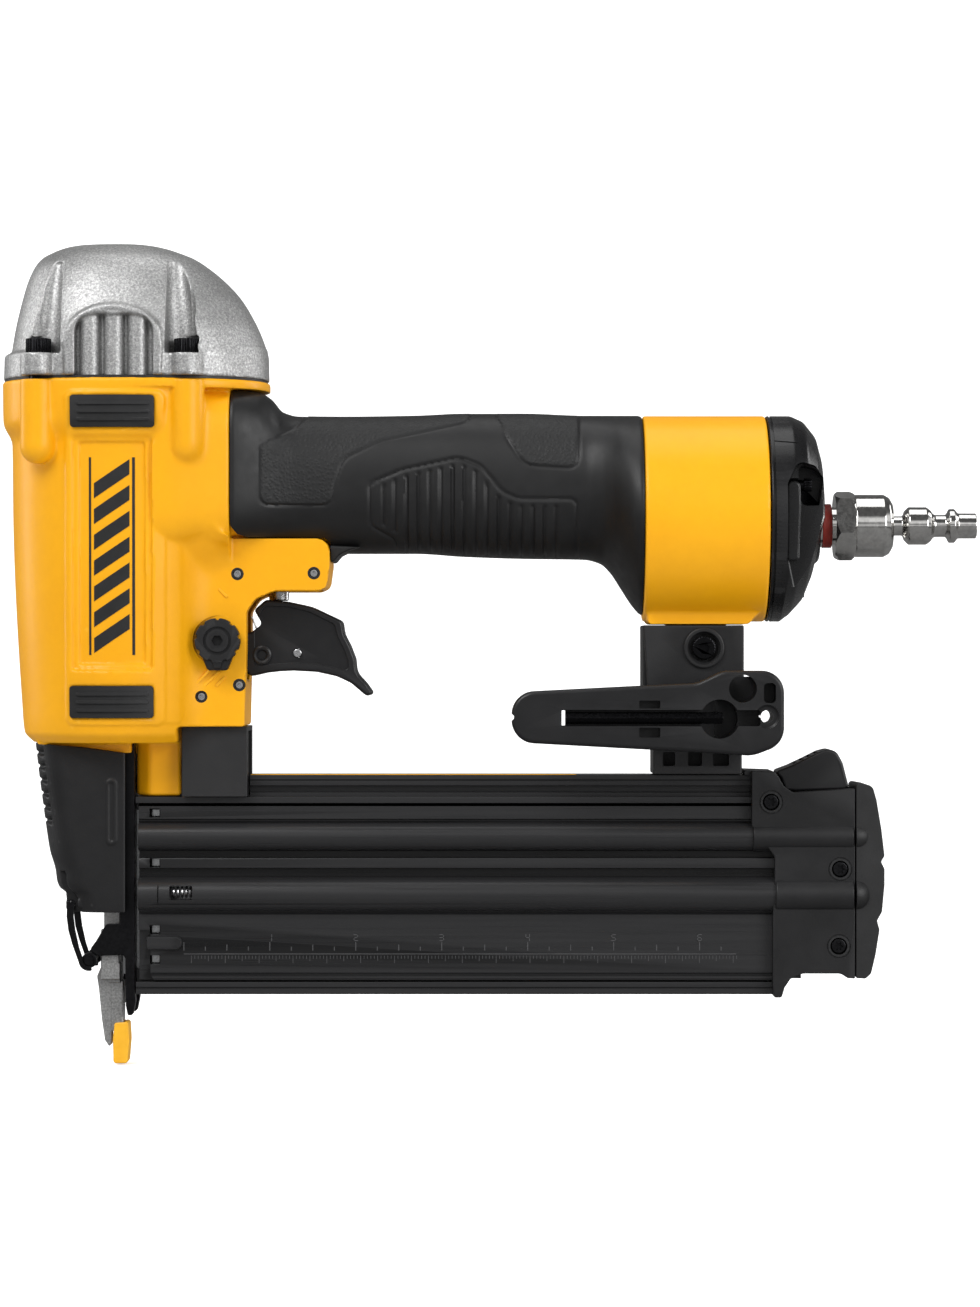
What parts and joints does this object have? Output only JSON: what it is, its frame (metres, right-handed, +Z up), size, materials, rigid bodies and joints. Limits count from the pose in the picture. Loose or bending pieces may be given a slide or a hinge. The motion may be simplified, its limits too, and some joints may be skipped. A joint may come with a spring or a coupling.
{
  "type": "pneumatic nail gun",
  "caption": "Pneumatic brad nailer: cast body with a domed cylinder cap, rubber-sleeved air handle, swivel plug, slide-open magazine, belt hook and no-mar tip.",
  "frame": {"origin": "on the flat underside of the soft tip, on solid material 1.65 mm behind the drive axis, so the nail exit is at x = -1.65 mm", "axes": "+Z up along the drive axis from the work towards the cylinder cap; +X rearward along the handle and the magazine; -Y is the side with the open magazine cover, the selector knob and the belt hook"},
  "size_m": [0.2896, 0.0641, 0.2432],
  "materials": {
    "yellow_housing": "cast aluminium with a semi-gloss yellow powder coat",
    "cast_cap": "silver painted sand-cast texture",
    "gasket_black": "matte",
    "black_plastic": "moulded, lightly textured",
    "spring_steel": "drawn wire",
    "aluminium_sleeve": "turned",
    "amber_bumper": "moulded urethane",
    "bright_steel": "ground",
    "rubber_grip": "soft moulded, stippled and ribbed",
    "rubber_pad": "ribbed",
    "plated_steel": "bright plated",
    "dark_steel": "black oxide",
    "black_coated_steel": "black oxide and coating",
    "raw_steel": "bead blasted",
    "yellow_plastic": "soft moulded",
    "black_anodised": "black anodised aluminium extrusion",
    "brad_wire": "collated galvanised brads"
  },
  "bodies": {
    "root": {"housing": "yellow_housing", "cylinder_cap": "cast_cap", "cap_gasket": "gasket_black", "cap_screw_1": "dark_steel", "cap_screw_2": "dark_steel", "cap_screw_3": "dark_steel", "cap_screw_4": "dark_steel", "head_valve_spring": "spring_steel", "cylinder_sleeve": "aluminium_sleeve", "bumper": "amber_bumper", "grip_sleeve": "rubber_grip", "end_cap": "black_plastic", "end_cap_screw_1": "dark_steel", "end_cap_screw_2": "dark_steel", "end_cap_screw_3": "dark_steel", "swivel_body": "plated_steel", "pad_upper": "rubber_pad", "pad_lower": "rubber_pad", "trigger_valve_body": "black_plastic", "roll_pin_1": "bright_steel", "roll_pin_2": "bright_steel", "roll_pin_3": "bright_steel", "roll_pin_4": "bright_steel", "nose_frame": "black_coated_steel", "trip_guard": "black_plastic", "magazine_rail": "black_anodised", "magazine_mount": "black_plastic", "bracket_screw": "dark_steel", "belt_hook": "black_plastic", "hex_wrench": "dark_steel", "brad_strip": "brad_wire", "contact_spring": "spring_steel"},
    "head_valve": {"head_valve": "black_plastic"},
    "piston": {"piston": "aluminium_sleeve", "piston_ring": "gasket_black", "driver_blade": "bright_steel"},
    "swivel": {"swivel_seat": "bright_steel"},
    "plug": {"plug_stem": "plated_steel"},
    "trigger": {"trigger": "black_plastic", "trip_lever_pin": "bright_steel"},
    "trip_lever": {"trip_lever": "dark_steel"},
    "selector": {"selector_knob": "black_plastic"},
    "valve_stem": {"trigger_valve_stem": "bright_steel"},
    "trip_rod": {"trip_rod": "bright_steel"},
    "depth_wheel": {"depth_wheel": "black_plastic"},
    "work_contact": {"contact_foot": "raw_steel", "contact_arm": "dark_steel", "no_mar_tip": "yellow_plastic"},
    "nose_door": {"nose_door": "raw_steel"},
    "latch_lever": {"latch_lever": "black_plastic"},
    "latch_bail": {"latch_bail": "dark_steel"},
    "magazine_cover": {"magazine_cover": "black_anodised", "magazine_end_cap": "black_plastic", "end_bumper": "rubber_grip", "magazine_screw_1": "dark_steel", "magazine_screw_2": "dark_steel", "magazine_screw_3": "dark_steel"},
    "pusher": {"pusher": "dark_steel", "pusher_spring": "spring_steel"},
    "latch_button": {"latch_button": "black_plastic"}
  },
  "joints": [
    {"name": "drive_stroke", "type": "slide", "parent": "root", "child": "piston", "axis": [0, 0, -1], "range_m": [0, 0.08], "stiffness_N_per_m": 150, "springref_m": -0.01},
    {"name": "head_valve_lift", "type": "slide", "parent": "root", "child": "head_valve", "axis": [0, 0, 1], "range_m": [0, 0.004], "deforming": ["head_valve_spring"]},
    {"name": "trigger_pull", "type": "hinge", "parent": "root", "child": "trigger", "pos_m": [0.02875, 0, 0.1255], "axis": [0, -1, 0], "range_deg": [0, 9]},
    {"name": "valve_stem_push", "type": "slide", "parent": "root", "child": "valve_stem", "axis": [0, 0, 1], "range_m": [0, 0.0025]},
    {"name": "trip_lever_tilt", "type": "hinge", "parent": "trigger", "child": "trip_lever", "pos_m": [0.0516, 0, 0.12185], "axis": [0, 1, 0], "range_deg": [0, 12]},
    {"name": "selector_turn", "type": "hinge", "parent": "root", "child": "selector", "pos_m": [0.02875, 0, 0.1255], "axis": [0, -1, 0], "range_deg": [0, 180]},
    {"name": "contact_press", "type": "slide", "parent": "root", "child": "trip_rod", "axis": [0, 0, 1], "range_m": [0, 0.006], "deforming": ["contact_spring"]},
    {"name": "depth_dial", "type": "hinge", "parent": "trip_rod", "child": "depth_wheel", "pos_m": [0.02985, 0, 0.0896], "axis": [0, 0, 1], "range_deg": [-361, 361]},
    {"name": "depth_adjust", "type": "slide", "parent": "trip_rod", "child": "work_contact", "axis": [0, 0, 1], "range_m": [-0.0015, 0.0015]},
    {"name": "jam_door", "type": "hinge", "parent": "root", "child": "nose_door", "pos_m": [-0.00485, 0, 0.09], "axis": [0, 1, 0], "range_deg": [0, 25]},
    {"name": "jam_latch", "type": "hinge", "parent": "nose_door", "child": "latch_lever", "pos_m": [-0.01175, 0, 0.048], "axis": [0, -1, 0], "range_deg": [0, 100]},
    {"name": "bail_swing", "type": "hinge", "parent": "latch_lever", "child": "latch_bail", "pos_m": [-0.01525, 0, 0.0474], "axis": [0, -1, 0], "range_deg": [-130, 0]},
    {"name": "magazine_slide", "type": "slide", "parent": "root", "child": "magazine_cover", "axis": [1, 0, 0], "range_m": [0, 0.105]},
    {"name": "pusher_travel", "type": "slide", "parent": "magazine_cover", "child": "pusher", "axis": [1, 0, 0], "range_m": [0, 0.1], "deforming": ["pusher_spring"]},
    {"name": "latch_button_press", "type": "hinge", "parent": "magazine_cover", "child": "latch_button", "pos_m": [0.20385, 0, 0.0799], "axis": [0, 1, 0], "range_deg": [0, 8]},
    {"name": "air_swivel", "type": "hinge", "parent": "root", "child": "swivel", "pos_m": [0.22004, 0, 0.15973], "axis": [1, 0, 0], "continuous": true},
    {"name": "plug_tilt", "type": "hinge", "parent": "swivel", "child": "plug", "pos_m": [0.22304, 0, 0.15973], "axis": [0, 0, 1], "range_deg": [-12, 12]}
  ],
  "couplings": [
    {"joint": "valve_stem_push", "follows": "trigger_pull", "m_per_rad": 0.015915},
    {"joint": "trip_lever_tilt", "follows": "contact_press", "rad_per_m": 34.907},
    {"joint": "depth_dial", "follows": "depth_adjust", "rad_per_m": 4188.8},
    {"joint": "jam_door", "follows": "jam_latch", "ratio": 0.25},
    {"joint": "bail_swing", "follows": "jam_latch", "ratio": -1.3}
  ]
}
